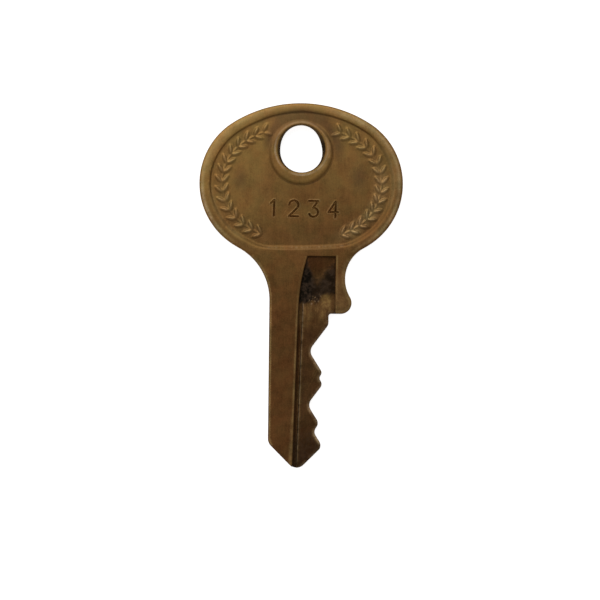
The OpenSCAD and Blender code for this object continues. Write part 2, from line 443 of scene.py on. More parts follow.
# The figures of the stamped number, struck one at a time with hand punches after the die, in a
# row that leans a little. Here they are only paths: the metal is sunk along them further down.
figures = 4
figure_h = 2.1
figure_w = 1.3
figure_pitch = 2.33
figure_stroke = 0.23
row_x = 0.25
row_drop = 2.95
row_slant = math.radians(-1)
row = np.array([strike_x + row_x, -row_drop])
row_turn = np.array(
    [[math.cos(row_slant), math.sin(row_slant)], [-math.sin(row_slant), math.cos(row_slant)]]
)


def figure(n):
    """The strokes of a plain figure from 1 to 4, centred on the origin."""
    w, h = (figure_w - figure_stroke) / 2, (figure_h - figure_stroke) / 2
    if n == 1:
        path = [(-0.7 * w, h - 0.7 * w), (0, h), (0, -h)]
    elif n == 2:
        bowl = arc([0, h - w], w, math.pi, math.radians(-35))
        path = [*bowl, (-w, -h), (w, -h)]
    elif n == 3:
        bowl = arc([0, w - h], w, math.radians(95), math.radians(-160))
        path = [(-w, h), (w, h), *bowl]
    else:
        path = [(w / 2, -h), (w / 2, h), (-w, -h / 3), (w, -h / 3)]
    return np.array(path)


strokes = []
for n in range(1, figures + 1):
    path = figure(n) + [(n - (figures + 1) / 2) * figure_pitch, 0]
    strokes.append(row + path @ row_turn)


def from_strokes(p):
    """Distance of points from the nearest stroke of the figures."""
    nearest = np.full(len(p), np.inf)
    for path in strokes:
        for a, b in zip(path, path[1:]):
            share = np.clip((p - a) @ (b - a) / ((b - a) @ (b - a)), 0, 1)
            away = p - a - share[:, None] * (b - a)
            nearest = np.minimum(nearest, np.hypot(away[:, 0], away[:, 1]))
    return nearest


# The skin of both faces, meshed as finely as each place needs: coarse on the flat neck and
# spine, finer in the field, and finest on the walls, the sprays, the grime and the figures.
# The rounded edges, the sides and the hole's wall are rings of points that join the two faces.
coarse = 0.34
fine = 0.085
edge_reach = 0.2
edge_gap = 0.06
edge_zone = 0.9
rim_zone = (-0.12, 0.28)
neck_zone = (-0.21, 0.69)
collar_zone = (-0.15, 0.35)
spray_inset = 2.6
spray_zone = 1.1
spray_end_x = 3.1
land_zone = (-0.6, 0)
row_zone = np.array([4.8, 1.4])
row_margin = 0.2
stroke_zone = 0.24
ring_shares = (0, 0.076, 0.293, 0.617, 1)
side_rows = 5
hole_points = 180
hole_wear = 0.13
mouth_wear = 0.26
hole_wall = hole_r + hole_wear
hole_mouth = hole_r + mouth_wear
hole_zone = 4.6
hole_burrs = ((math.radians(15), 0.44), (math.radians(174), 0.32))
hole_burr_spread = math.radians(47)
cut_roll = 0.07
cut_roll_w = 0.5
ripple_h = 0.006


def lattice(pitch, low, high, odd_only):
    """Points of a triangular lattice, and without every other row and column where odd_only."""
    rise = pitch * math.sqrt(3) / 2
    rows = np.arange(math.floor(low[1] / rise), math.ceil(high[1] / rise) + 1)
    reach = np.arange(
        math.floor((low[0] - high[1]) / pitch), math.ceil((high[0] - low[1]) / pitch) + 1
    )
    column, line = [a.ravel() for a in np.meshgrid(reach, rows)]
    p = np.c_[(column + line / 2) * pitch, line * rise]
    keep = (p[:, 0] > low[0]) & (p[:, 0] < high[0])
    if odd_only:
        keep &= (column % 2 == 1) | (line % 2 == 1)
    return p[keep]


def within(e, zone):
    return (e > zone[0]) & (e < zone[1])


def pitch_wanted(p, e, front):
    """How far apart points have to be, at points that lie e in from the edge."""
    rim, neck, round_hole = field_edges(p)
    in_field = struck(p) > 0.02
    sprays = np.abs(from_bow_edge(p) - spray_inset) < spray_zone
    sprays &= in_field & (np.abs(p[:, 0]) > spray_end_x)
    walls = within(rim, rim_zone) & (neck > 0)
    walls |= within(neck, neck_zone) & (rim > 0)
    walls |= within(round_hole, collar_zone)
    away = from_point(p, hole)
    medium = (e < edge_zone) | in_field | (away < hole_zone)
    small = sprays | walls | (away < hole_mouth + 0.5)
    if front:
        land = from_land_edge(p)
        medium |= land > land_zone[0]
        small |= (land > land_zone[1]) & (p[:, 1] > grime_low - 1)
        small |= (np.abs(p - row) < row_zone).all(axis=1)
    return np.where(small, fine, np.where(medium, 2 * fine, coarse))


def rolled(e, r):
    """How far the rounded edge has dropped, at e in from the edge."""
    e = np.minimum(e, r)
    return r - np.sqrt(r**2 - (r - e) ** 2)


def face_height(p, e, front):
    """Height of the metal at points that lie e in from the edge, counted out from mid-stock."""
    drop = field_depth * struck(p) + roll_drop * np.clip(1 - e / roll_w, 0, 1) ** 2
    if front:
        worn_down = cut_roll * np.clip(1 - e / cut_roll_w, 0, 1) ** 2
        drop = np.maximum(drop, milled(p) + worn_down)
        drop -= grime_h * grime(p) * (0.75 + 0.5 * mottle(p, lump_size / 2, seed=5.2))
    else:
        drop += back_groove_depth * (1 - step_over(from_back_groove(p), back_groove_wall))
    ripples = 1 + mottle(p, 3.5, seed=9.1 if front else 2.6, octaves=2)
    return stock / 2 - drop - ripple_h * np.maximum(ripples, 0)


key_verts = []
key_faces = []


def add(p, z):
    """Adds points to the mesh and gives back their numbers."""
    start = len(key_verts)
    key_verts.extend(zip(p[:, 0], p[:, 1], np.broadcast_to(z, len(p))))
    return np.arange(start, len(key_verts))


def bridge(a, b):
    key_faces.extend(zip(a, np.roll(a, -1), np.roll(b, -1), b))


def skin(front, rim_ids, rim_ring, mouth_ids, mouth_ring, lines):
    """Meshes one face between the innermost ring at the edge and the mouth of the hole."""
    points = [rim_ring, mouth_ring]
    edges = []
    start = 0
    for ring_points in points:
        count = len(ring_points)
        edges += [(start + i, start + (i + 1) % count) for i in range(count)]
        start += count
    for line in lines:
        line = evened(line, 1.1 * fine)
        inside = from_edge(line) > edge_reach + edge_gap
        number = start + np.cumsum(inside) - 1
        both = inside[:-1] & inside[1:]
        edges += [(int(a), int(b)) for a, b in zip(number[:-1][both], number[1:][both])]
        points.append(line[inside])
        start += inside.sum()
    fixed = np.concatenate(points)
    fixed_tree = tree_of(fixed)
    low, high = outline.min(axis=0), outline.max(axis=0)
    for pitch in (coarse, 2 * fine, fine):
        p = lattice(pitch, low, high, odd_only=pitch < coarse)
        e = from_edge(p)
        p, e = p[e > edge_reach], e[e > edge_reach]
        p = p[pitch_wanted(p, e, front) < 1.1 * pitch]
        away = np.array([fixed_tree.find((x, y, 0))[2] for x, y in p])
        outside_hole = from_point(p, hole) > hole_mouth
        points.append(p[outside_hole & (away > 0.35 * pitch + 0.025)])
    if front:
        reach = row_zone + row_margin
        p = lattice(fine / 2, row - reach, row + reach, odd_only=True)
        points.append(p[from_strokes(p) < stroke_zone])
    p = np.concatenate(points)
    _, _, triangles, origin, _, _ = delaunay_2d_cdt([Vector(q) for q in p], edges, [], 0, 1e-6)
    own = np.array([o[0] for o in origin])
    t = own[np.array(triangles)]
    a, b, c = p[t[:, 0]], p[t[:, 1]], p[t[:, 2]]
    turn = (b[:, 0] - a[:, 0]) * (c[:, 1] - a[:, 1]) - (b[:, 1] - a[:, 1]) * (c[:, 0] - a[:, 0])
    sliver = np.abs(turn) < 1e-7
    t = np.where(turn[:, None] > 0, t, t[:, ::-1])
    # Triangles between points of one ring alone can lie in the hole or outside the blank
    n = len(rim_ring)
    first = np.argmin(t, axis=1)[:, None]
    t = np.take_along_axis(t, (first + [0, 1, 2]) % 3, axis=1)
    on_rim = (t < n).all(axis=1)
    on_mouth = ((t >= n) & (t < n + len(mouth_ring))).all(axis=1)
    t = t[~(on_mouth | (on_rim & (sliver | (t[:, 1] > t[:, 2]))))]
    inner = p[n + len(mouth_ring):]
    z = face_height(inner, from_edge(inner), front)
    ids = np.concatenate([rim_ids, mouth_ids, add(inner, z if front else -z)])
    key_faces.extend(ids[t if front else t[:, ::-1]])


def edge_round(p, front):
    """Radius of the worn edge: large round the bow, smaller down the back, crisp at the cuts."""
    blade = step_over(-p[:, 1], (-stop_y - 2.0, -stop_y))
    cut = blade * step_over(p[:, 0], (-back_x + 0.3, -back_x + 1.2))
    r = edge_reach - 0.05 * blade - 0.09 * cut
    return r if front else 0.7 * r


def hole_ring(share):
    """Points round the hole, from its wall at share 0 out to its mouth at share 1."""
    angles = np.linspace(0, math.tau, hole_points, endpoint=False)
    wall = np.full(len(angles), hole_wall)
    for middle, lip in hole_burrs:
        turn = (angles - middle + math.pi) % math.tau - math.pi
        wall -= lip * np.exp(-((turn / hole_burr_spread) ** 2))
    r = wall + (hole_mouth - wall) * share
    return hole + np.c_[r * np.cos(angles), r * np.sin(angles)]


loops = []
holes = []
for front in (False, True):
    sign = 1 if front else -1
    near_edge = []
    near_hole = []
    for share in ring_shares:
        p = outline + inward * edge_reach * share
        z = face_height(p, np.full(len(p), edge_reach * share), front)
        z -= rolled(edge_reach * share, edge_round(outline, front))
        near_edge.append((p, sign * z))
        p = hole_ring(share)
        z = stock / 2 - (hole_mouth - hole_r) * (1 - math.sqrt(1 - (1 - share) ** 2))
        near_hole.append((p, sign * np.full(len(p), z)))
    loops += near_edge if front else near_edge[::-1]
    holes += near_hole if front else near_hole[::-1]
half = len(ring_shares)
for parts in (loops, holes):
    (p, z_low), (_, z_high) = parts[half - 1], parts[half]
    parts[half:half] = [
        (p, z_low + (z_high - z_low) * i / side_rows) for i in range(1, side_rows)
    ]

loop_ids = [add(p, z) for p, z in loops]
for a, b in zip(loop_ids, loop_ids[1:]):
    bridge(a, b)
hole_ids = [add(p, z) for p, z in holes]
for a, b in zip(hole_ids, hole_ids[1:]):
    bridge(b, a)
front_lines = [land_line(e) for e in (*spine_shoulder, *land_wall)]
front_lines += [groove_line(s) for s in groove_lines]
back_lines = [back_groove_line(e) for e in back_groove_wall]
skin(True, loop_ids[-1], loops[-1][0], hole_ids[-1], holes[-1][0], front_lines)
skin(False, loop_ids[0], loops[0][0], hole_ids[0], holes[0][0], back_lines)

key_mesh = bpy.data.meshes.new("brass_key")
key_mesh.from_pydata(np.array(key_verts).tolist(), [], [[int(i) for i in f] for f in key_faces])


def set_attribute(mesh, name, values):
    attribute = mesh.attributes.get(name) or mesh.attributes.new(name, "FLOAT", "POINT")
    attribute.data.foreach_set("value", np.asarray(values, dtype=np.float32))


def get_attribute(mesh, name):
    values = np.empty(len(mesh.vertices), dtype=np.float32)
    mesh.attributes[name].data.foreach_get("value", values)
    return values


# Points down the sides and down the wall of the hole belong to neither face
p, heights = np.split(np.array(key_verts), [2], axis=1)
on_face = (from_edge(p) > 0.005) & (from_point(p, hole) > hole_mouth - 0.2)
set_attribute(key_mesh, "side", np.sign(heights[:, 0]) * on_face)


def placed(name, data):
    """A new object in the scene, made of the given mesh, light or camera."""
    made = bpy.data.objects.new(name, data)
    bpy.context.scene.collection.objects.link(made)
    return made


key = placed("brass_key", key_mesh)

# The leaf sprays, raised border work in the two ends of the field. The die carries them as
# hollows: a stem with pairs of pointed leaves. Here the die's leaves are laid out along the
# stem, and the skin of both faces is then struck up against them.
spray_len = 8.2
leaf_pitch = 1.17
leaf_len = 1.3
leaf_w = 0.46
leaf_spread = math.radians(40)
stem_w = 0.18
spray_h = 0.18
die_reach = 0.3


def add_node(kind, inputs=None, **settings):
    """Adds a node to the tree in hand, sets its options, and sets or links its inputs."""
    made = tree.nodes.new(kind)
    for name, value in settings.items():
        setattr(made, name, value)
    for name, value in (inputs or {}).items():
        if isinstance(value, bpy.types.NodeSocket):
            tree.links.new(value, made.inputs[name])
        else:
            made.inputs[name].default_value = value
    return made


def result(kind, inputs=None, **settings):
    """The first output of a new node."""
    return add_node(kind, inputs, **settings).outputs[0]


def calc(operation, *values, clamp=False):
    inputs = dict(enumerate(values))
    return result("ShaderNodeMath", inputs, operation=operation, use_clamp=clamp)


def scaled(vector, factor):
    return result("ShaderNodeVectorMath", {0: vector, "Scale": factor}, operation="SCALE")


def between(value, low, high, to_low=0.0, to_high=1.0):
    """A soft step in the value from low to high, brought to another range if asked."""
    ends = {"From Min": low, "From Max": high, "To Min": to_low, "To Max": to_high}
    step = {"Value": value, **ends}
    return result("ShaderNodeMapRange", step, interpolation_type="SMOOTHSTEP")


def bare_tree(owner):
    """The node tree of a material or a world, with nothing in it yet."""
    owner.use_nodes = True
    owner.node_tree.nodes.clear()
    return owner.node_tree


def shape_of(tool):
    return add_node("GeometryNodeObjectInfo", {"Object": tool}).outputs["Geometry"]


def noted(geometry, name, value):
    """The geometry with a value kept under a name at each of its points."""
    inputs = {"Geometry": geometry, "Name": name, "Value": value}
    kind = "GeometryNodeStoreNamedAttribute"
    return result(kind, inputs, data_type="FLOAT", domain="POINT")


def geometry_tree(name, sockets):
    """A node tree that takes and gives geometry, with named inputs of its own."""
    tree = bpy.data.node_groups.new(name, "GeometryNodeTree")
    tree.interface.new_socket("Geometry", in_out="OUTPUT", socket_type="NodeSocketGeometry")
    for label, kind in {"Geometry": "Geometry", **sockets}.items():
        tree.interface.new_socket(label, in_out="INPUT", socket_type="NodeSocket" + kind)
    return tree, tree.nodes.new("NodeGroupInput").outputs


def run_tree(piece, geometry, values):
    """Ends the tree with the geometry in brass, and keeps that as the piece's plain mesh."""
    real = result("GeometryNodeRealizeInstances", {"Geometry": geometry})
    clad = result("GeometryNodeSetMaterial", {"Geometry": real, "Material": brass})
    add_node("NodeGroupOutput", {0: clad})
    modifier = piece.modifiers.new(tree.name, "NODES")
    modifier.node_group = tree
    for item in tree.interface.items_tree:
        if item.in_out == "INPUT" and item.name in values:
            modifier[item.identifier] = values[item.name]
    bpy.context.view_layer.update()
    shaped = piece.evaluated_get(bpy.context.evaluated_depsgraph_get())
    mesh = bpy.data.meshes.new_from_object(shaped)
    piece.modifiers.clear()
    before, piece.data = piece.data, mesh
    name = before.name
    bpy.data.meshes.remove(before)
    mesh.name = name


def path_tool(name, paths):
    """A tool made of open paths, for a node tree to work along."""
    verts = []
    edges = []
    for path in paths:
        edges += [(len(verts) + i, len(verts) + i + 1) for i in range(len(path) - 1)]
        verts += path
    mesh = bpy.data.meshes.new(name)
    mesh.from_pydata(verts, edges, [])
    return placed(name, mesh)


def leaf_mesh():
    """A leaf from the origin along X: a pointed lens with a midrib, alike above and below."""
    r = (leaf_len**2 / leaf_w + leaf_w) / 4
    along = np.linspace(0, 1, 11)
    across = np.array([1, 0.75, 0.4, 0, -0.4, -0.75, -1])
    verts = []
    for x in along * leaf_len:
        half = math.sqrt(r**2 - (x - leaf_len / 2) ** 2) - r + leaf_w / 2
        crown = spray_h * min(1, 2.2 * half / leaf_w + 0.1)
        for s in across:
            verts.append((x, half * s, crown * math.sqrt(1 - s**2) * (1 - 0.25 * (s == 0))))
    n = len(across)
    over = [
        (a, a + 1, a + n + 1, a + n)
        for i in range(len(along) - 1)
        for a in range(i * n, i * n + n - 1)
    ]
    count = len(verts)
    verts += [(x, y, -z) for x, y, z in verts]
    under = [tuple(count + i for i in reversed(f)) for f in over]
    mesh = bpy.data.meshes.new("leaf")
    mesh.from_pydata(verts, [], over + under)
    return mesh


def spray_path():
    """Points along the right-hand stem, from its foot up to its end."""
    end_r, rest_r = bow_end_r - spray_inset, long_r - spray_inset
    more = (spray_len - end_r * join) / rest_r
    upper = arc([0, -long_drop], rest_r, join, join + more)
    lower = arc([0, long_drop], rest_r, -join - more, -join)
    return np.concatenate([lower, arc([end_x, 0], end_r, -join, join)[1:-1], upper])


brass = bpy.data.materials.new("aged_brass")
stems = [
    [(hand * x + strike_x, y, face * (stock / 2 - field_depth)) for x, y in spray_path()]
    for face in (-1, 1)
    for hand in (-1, 1)
]
die = path_tool("die", stems)
leaf = placed("leaf", leaf_mesh())

tree, given = geometry_tree(
    "Leaf die", {"Leaf": "Object", "Pitch": "Float", "Spread": "Float", "Stem Width": "Float"}
)
stem = result("GeometryNodeMeshToCurve", {"Mesh": given["Geometry"]})
places = result(
    "GeometryNodeResampleCurve", {"Curve": stem, "Length": given["Pitch"]}, mode="LENGTH"
)
tangent = result("GeometryNodeInputTangent")
forward = result(
    "FunctionNodeAlignRotationToVector", {"Vector": tangent}, axis="X", pivot_axis="Z"
)
one_leaf = shape_of(given["Leaf"])
grown = add_node("GeometryNodeJoinGeometry")
for hand in (-1, 1):
    angle = calc("MULTIPLY", given["Spread"], hand)
    opened = result("FunctionNodeAxisAngleToRotation", {"Axis": (0, 0, 1), "Angle": angle})
    turn = {"Rotation": forward, "Rotate By": opened}
    turned = result("FunctionNodeRotateRotation", turn, rotation_space="LOCAL")
    leaves = {"Points": places, "Instance": one_leaf, "Rotation": turned}
    tree.links.new(result("GeometryNodeInstanceOnPoints", leaves), grown.inputs[0])
radius = calc("MULTIPLY", given["Stem Width"], 0.5)
ring = result("GeometryNodeCurvePrimitiveCircle", {"Resolution": 8, "Radius": radius})
bars = result("GeometryNodeCurveToMesh", {"Curve": stem, "Profile Curve": ring})
tree.links.new(bars, grown.inputs[0])
run_tree(
    die,
    grown.outputs[0],
    {"Leaf": leaf, "Pitch": leaf_pitch, "Spread": leaf_spread, "Stem Width": stem_w},
)

tree, given = geometry_tree(
    "Strike", {"Die": "Object", "Reach": "Float", "Height": "Float", "Softness": "Int"}
)
kind = "GeometryNodeInputNamedAttribute"
which_face = add_node(kind, {"Name": "side"}, data_type="FLOAT").outputs["Attribute"]
out = result("ShaderNodeCombineXYZ", {"Z": which_face})
position = result("GeometryNodeInputPosition")
far_out = scaled(out, given["Reach"])
start = result("ShaderNodeVectorMath", {0: position, 1: far_out}, operation="ADD")
hit = add_node(
    "GeometryNodeRaycast",
    {"Target Geometry": shape_of(given["Die"]), "Source Position": start,
     "Ray Direction": scaled(out, -1.0), "Ray Length": given["Reach"]},
).outputs
lift = calc("SUBTRACT", given["Reach"], hit["Hit Distance"])
where_hit = {"Switch": hit["Is Hit"], "False": 0.0, "True": lift}
lift = result("GeometryNodeSwitch", where_hit, input_type="FLOAT")
eased = {"Value": lift, "Iterations": given["Softness"]}
lift = result("GeometryNodeBlurAttribute", eased, data_type="FLOAT")
kept = noted(given["Geometry"], "leaf", calc("DIVIDE", lift, given["Height"]))
offset = scaled(out, lift)
moved = result("GeometryNodeSetPosition", {"Geometry": kept, "Offset": offset})
run_tree(key, moved, {"Die": die, "Reach": die_reach, "Height": spray_h, "Softness": 1})

# The stamped number on the front: each stroke of a punch leaves a channel that is deepest along
# its middle, and pushes up a low burr on either side of it. Where the channel and the burrs lie
# is counted in halves of the stroke's width.
stamp_depth = 0.12
stamp_burr = 0.022
channel_reach = 1.1
burr_middle = 1.45
burr_half = 0.5
punches = path_tool(
    "punches", [[(x, y, stock / 2 - field_depth) for x, y in path] for path in strokes]
)

tree, given = geometry_tree(
    "Stamp", {"Punches": "Object", "Width": "Float", "Depth": "Float", "Burr": "Float"}
)
paths = {"Geometry": shape_of(given["Punches"])}
away = add_node("GeometryNodeProximity", paths, target_element="EDGES").outputs["Distance"]
share = calc("DIVIDE", away, calc("MULTIPLY", given["Width"], 0.5))
sunk = between(share, 0.0, channel_reach, 1.0, 0.0)
from_burr = calc("ABSOLUTE", calc("SUBTRACT", share, burr_middle))
burr = calc("SUBTRACT", 1.0, calc("DIVIDE", from_burr, burr_half), clamp=True)
thrown_up = calc("MULTIPLY", burr, given["Burr"])
pressed_in = calc("MULTIPLY", sunk, given["Depth"])
rise = calc("SUBTRACT", thrown_up, pressed_in)
offset = result("ShaderNodeCombineXYZ", {"Z": rise})
kept = noted(given["Geometry"], "stamp", sunk)
moved = result("GeometryNodeSetPosition", {"Geometry": kept, "Offset": offset})
run_tree(
    key,
    moved,
    {"Punches": punches, "Width": figure_stroke, "Depth": stamp_depth, "Burr": stamp_burr},
)
for tool in (die, leaf, punches):
    bpy.data.objects.remove(tool)

# The finish: years in a pocket have browned the brass, and a painted falloff of light darkens it
# more on the blade than on the bow. Handling keeps its rim, ridges and edges brighter, and painted
# highlights brighten the rim, edges, ridges and walls that turn towards the light. Dirt and crust
# sit on the land, and painted shade darkens the foot of the walls, the hole, the groove, the edge
# under the stop and the tip. Each of these is laid on the mesh as a layer from 0 to 1, and the
# metal mixes its colours by them.
mesh = key.data
co = np.empty(len(mesh.vertices) * 3, dtype=np.float32)
mesh.vertices.foreach_get("co", co)
co = co.reshape(-1, 3).astype(float)
side = get_attribute(mesh, "side")
leaf_up = np.clip(get_attribute(mesh, "leaf"), 0, 1)
stamped = get_attribute(mesh, "stamp")
p = co[:, :2]
x, y = p.T


def below(start, end):
    """0 above the first height and 1 below the second, both counted down from the bow's middle."""
    return step_over(-y, (start, end))


def toward(way, span, centre=(0, 0)):
    """1 on the side of the centre that lies in the given way, fading out over the span."""
    return step_over(facing(p, centre, way), span)


def spot(spot_x, spot_y, wide, tall, power=2):
    """A soft spot of height 1, and flatter on top where the power is higher."""
    return np.exp(-(((x - spot_x) / wide) ** power) - ((y - spot_y) / tall) ** power)


def strongest(marks):
    return np.maximum.reduce(list(marks.values()))


e = from_edge(p)
rim, neck, round_hole = field_edges(p)
in_field = struck(p)
front = side > 0.5
on_faces = side != 0
blade = y < -land_drop
above_stop = y > stop_y
to_tip = below(25, 32)
land = from_land_edge(p)
spine = from_spine(p)
on_land = front * step_over(land, (-0.02, 0.05))
in_groove = on_land * np.interp(spine / groove_w, (0, 0.6, 0.9, 1), (1, 1, 0.5, 0))
in_groove *= below(spine_drop - 0.7, spine_drop + 0.1)
burr_line = front * bump(spine / groove_w, 1.04, 0.26) * (y < -spine_drop + 1)
under_stop = bump(y, stop_y - 0.4, 0.9) * (land > 0)
hole_away = from_point(p, hole)
in_hole = step_over(hole_away, (hole_mouth, hole_mouth - 0.07))
band = in_field * bump(from_bow_edge(p), spray_inset, 1.3) * step_over(np.abs(x), (2.6, 4.6))
beside_strokes = front * bump(from_strokes(p), 0.2, 0.12)
fibres = 0.5 + 0.5 * mottle(p * [1, 0.15], 0.22, seed=1.7)
patchy = np.clip(0.8 + 1.1 * mottle(p, 0.5, seed=4.4), 0, 1)

# The crust is scraped through at its lower border, and brass shows there in flecks
crust = np.where(front, grime(p), 0)
scraped = bump(y - grime_low - 0.35 * np.abs(x - 1.4), 0.35, 0.9) * bump(x, 1.7, 1.4)
flecks = scraped * np.clip(3.5 * mottle(p * [1, 0.6], 0.2, seed=8.2) - 0.5, 0, 1)
rubbed = on_land * bump(y, -14.9, 2.6) * below(12.6, 13.6)
golden = 0.5 + 0.35 * mottle(p, 0.35, seed=2.2)

# How bright the rim's outer edge and its flat are, every 15 degrees from the right, and the lip of
# the hole, every 30 degrees: partly rubbed by handling, partly painted highlight and shade that
# follow how the light falls round the ring. A flat below 0 is painted darker instead, as dull
# metal and painted shade.
way = np.degrees(np.arctan2(y, x))
clock = np.arange(0, 360, 15)
edge_rub_and_highlight = (
    1.3, 1.1, 1.3, 0.9, 0.7, 0.2, 0.4, 0.3, 0.8, 1.0, 0.8, 1.3,
    1.9, 2.4, 1.7, 0.1, 0, 0, 0, 0, 0.2, 0.8, 1.4, 1.6,
)
flat_rub_and_light = (
    0.8, 0.4, 1.0, 1.1, 1.0, 0.1, 0, 0, 0.4, 0.9, 1.1, 1.2,
    0.1, -0.5, -0.3, -0.6, -0.3, 0, 0, 0, 0, 0.3, 0.8, 0.1,
)
lip = (0.4, 0.3, 0.2, 0.25, 0.2, 0.3, 1.15, 0.75, 0.1, 1, 0.45, 0.9)
edge_rub_and_highlight = np.interp(way, clock, edge_rub_and_highlight, period=360)
flat_rub_and_light = np.interp(way, clock, flat_rub_and_light, period=360)
round_lip = np.degrees(np.arctan2(y - hole[1], x - hole[0]))
lip = np.interp(round_lip, clock[::2], lip, period=360)
# Painted shade and dullness: the rim's flat is darker where its value is below 0
dull_and_shade = np.maximum(-flat_rub_and_light, 0) * bump(rim, -0.6, 0.6) * on_faces

# Painted highlight on the rim's rounded outer edge and its flat where they turn towards the light,
# along with wear from handling
rim_wear_and_highlight = 0.5 * edge_rub_and_highlight * bump(e, 0.36, 0.3) * on_faces * (y > -8)
rim_wear_and_highlight += 0.34 * np.maximum(flat_rub_and_light, 0) * bump(rim, -0.55, 0.5) * (neck > -0.4)
rim_ends = np.maximum(facing(p, (0, 0), 8), facing(p, (0, 0), 203))
right_lip = toward(0, (0.4, 0.9), hole) * bump(hole_away, 3.35, 0.4)
# The sprays are brighter on the lower right: partly rubbed, partly painted highlight
band_rub_and_highlight = 0.1 + 0.38 * toward(-35, (0.5, 0.95)) * step_over(x, (3.6, 6)) * front
neck_grain = np.clip(0.4 + 1.3 * mottle(p * [1, 0.4], 0.3, seed=3.1), 0, 1.4)
back_edge = on_faces * blade * (x < -back_x + 0.5)
spine_edge = front * blade * bump(spine, -0.1 - 0.1 * to_tip, 0.16 + 0.18 * to_tip)
# The cut edges are rubbed bright, and painted highlight brightens further the flanks that turn up
# towards the light
flank_up = np.clip(-inward[nearest_edge(p)][:, 1], -0.35, 1)
cut_edge = front * blade * (x > 0) * (0.4 + 0.45 * flank_up) * bump(e, 0.08, 0.36)
lobe_away = from_point(p, lobe + [0, 1])
waist_side = front * (x > 3.4) * (land < 0) * below(8.2, 9.6)
beside_land = front * bump(x, land_wall_x + 0.12, 0.12) * (y < -land_drop + 0.1)
# Wear from handling, with painted highlights where edges, walls and ridges turn towards the light
wear_and_highlights = {
    "rim": rim_wear_and_highlight,
    # Painted light that lifts the shade at the foot of the rim's wall, on the right and the left
    "foot of the rim": 0.3 * step_over(rim_ends, (0.9, 0.98)) * bump(rim, 0.05, 0.4) * on_faces,
    "lip of the hole": lip * bump(hole_away, hole_mouth + 0.16, 0.18),
    "collar": 0.25 * right_lip,
    "sprays": band_rub_and_highlight * band + 0.32 * leaf_up**2,
    "figures": 0.16 * beside_strokes * patchy,
    # Painted highlight on the wall over the neck, which faces the light
    "wall over the neck": 0.16 * bump(neck, 0.25, 0.2) * (rim > 0) * neck_grain,
    # Painted highlight on the waist's rounded edge, which turns up towards the light
    "waist": 0.45 * waist_side * bump(e, 0.22, 0.45),
    "lobe": 0.18 * front * step_over(lobe_away, (3.6, 1.2)) * (land < 0),
    # Painted highlight down the rounded back edge of the blade, where it catches the light
    "back of the blade": 0.7 * bump(e, 0.16, 0.14) * back_edge,
    "edge of the spine": spine_edge * (0.15 + 0.28 * below(13, 16)),
    # Painted highlight on the burr beside the groove, where it catches the light
    "burr": 0.85 * burr_line * patchy * (1 - 0.35 * to_tip),
    "wall of the land": 0.35 * beside_land * above_stop,
    "land": 0.55 * rubbed * np.clip(fibres, 0, 1) ** 1.5 * (1 - crust),
    "patch by the stop": on_land * spot(3.15, -13.75, 0.62, 0.95, 4) * golden * (1 - crust),
    "crust": 0.8 * on_land * flecks,
    "cuts": cut_edge * (1 - under_stop) * patchy**0.5,
}
worn = strongest(wear_and_highlights)

upper = toward(110, (-0.1, 0.45))
shaded = 0.5 - 0.5 * facing(p, hole, 100)
# Painted shade at the foot of the rim's upper wall and round the collar, darker on the collar's
# side away from the light
foot = 0.5 * upper * bump(rim, 0.06, 0.14) + (0.15 + 0.3 * shaded) * bump(round_hole, 0.1, 0.16)
low_sides = below(5.5, 11) * (1 - back_edge) * (1 - front)
# Dirt and crust, with painted shade at the foot of walls, in the hole and groove, under the stop
# and towards the tip
soiling_and_shade = {
    "foot of the walls": foot * in_field * (neck > 0.3),
    # The rim's flat is painted darker where its value is below 0: dull metal and painted shade
    "dull rim": 0.25 * dull_and_shade,
    # Painted shade in the hole's mouth and wall, darkest at the left and right
    "hole": (0.4 + 0.4 * np.abs(facing(p, hole, 0))) * in_hole,
    "figures": 0.04 * stamped,
    "sides": 0.22 * (side == 0),
    "sides of the blade": 0.5 * bump(e, 0, 0.14) * low_sides,
    "crust": crust * (1 - 0.7 * flecks),
    "corner of the land": 0.3 * front * bump(land, 0.1, 0.16) * above_stop,
    # Grime and painted shade on the groove's floor
    "groove": 0.24 * in_groove * (1 - burr_line),
    "land": 0.3 * on_land * bump(spine, groove_w + 0.35, 0.4) * below(17, 22),
    "patch by the first cut": 0.3 * on_land * spot(1.4, -18, 0.9, 0.9),
    # Painted shade along the edge under the stop
    "stop": 0.4 * on_land * under_stop * bump(e, 0.1, 0.4),
    # Painted falloff of light: the land darkens towards the tip
    "tip": 0.52 * on_land * to_tip * (1 - worn),
}

# Darker towards the blade and to the right: painted falloff of light
tone = step_over(-y + 0.45 * x, (-9.0, 17.0))
# Painted shade below the collar, on its side turned away from the light
tone += 0.1 * in_field * np.exp(-((round_hole / 1.2) ** 2)) * (facing(p, collar, -80) > 0)

field_stains = (
    (-7.2, 0.4, 0.9, 1.4), (6.8, 0.7, 1.0, 1.6), (-0.6, 7.8, 3.9, 1.0), (4.4, 4.3, 0.8, 1.7)
)
# Real stains in the field, and painted shade where the rim's flat is dull
stain = 0.8 * sum(spot(*place) for place in field_stains) + 0.8 * dull_and_shade
stain += toward(95, (-0.3, 0.5), hole) * np.exp(-(((hole_away - 4) / 0.55) ** 2))
# Painted shade on the collar's left side
stain += 0.4 * toward(200, (-0.2, 0.6), hole) * bump(hole_away, 3.6, 0.45)
# Painted shade on the collar's upper lip, which dims the highlight the light gives it
stain += 0.7 * toward(112, (0.2, 0.8), hole) * bump(hole_away, 3.2, 0.4)
stain += 0.3 * upper * in_field * bump(rim, 0.3, 0.4)
# Painted shade at the top and foot of the wall over the neck, which narrows its highlight
stain += (0.5 * bump(neck, 0.02, 0.16) + 0.25 * bump(neck, 0.5, 0.14)) * (rim > 0)

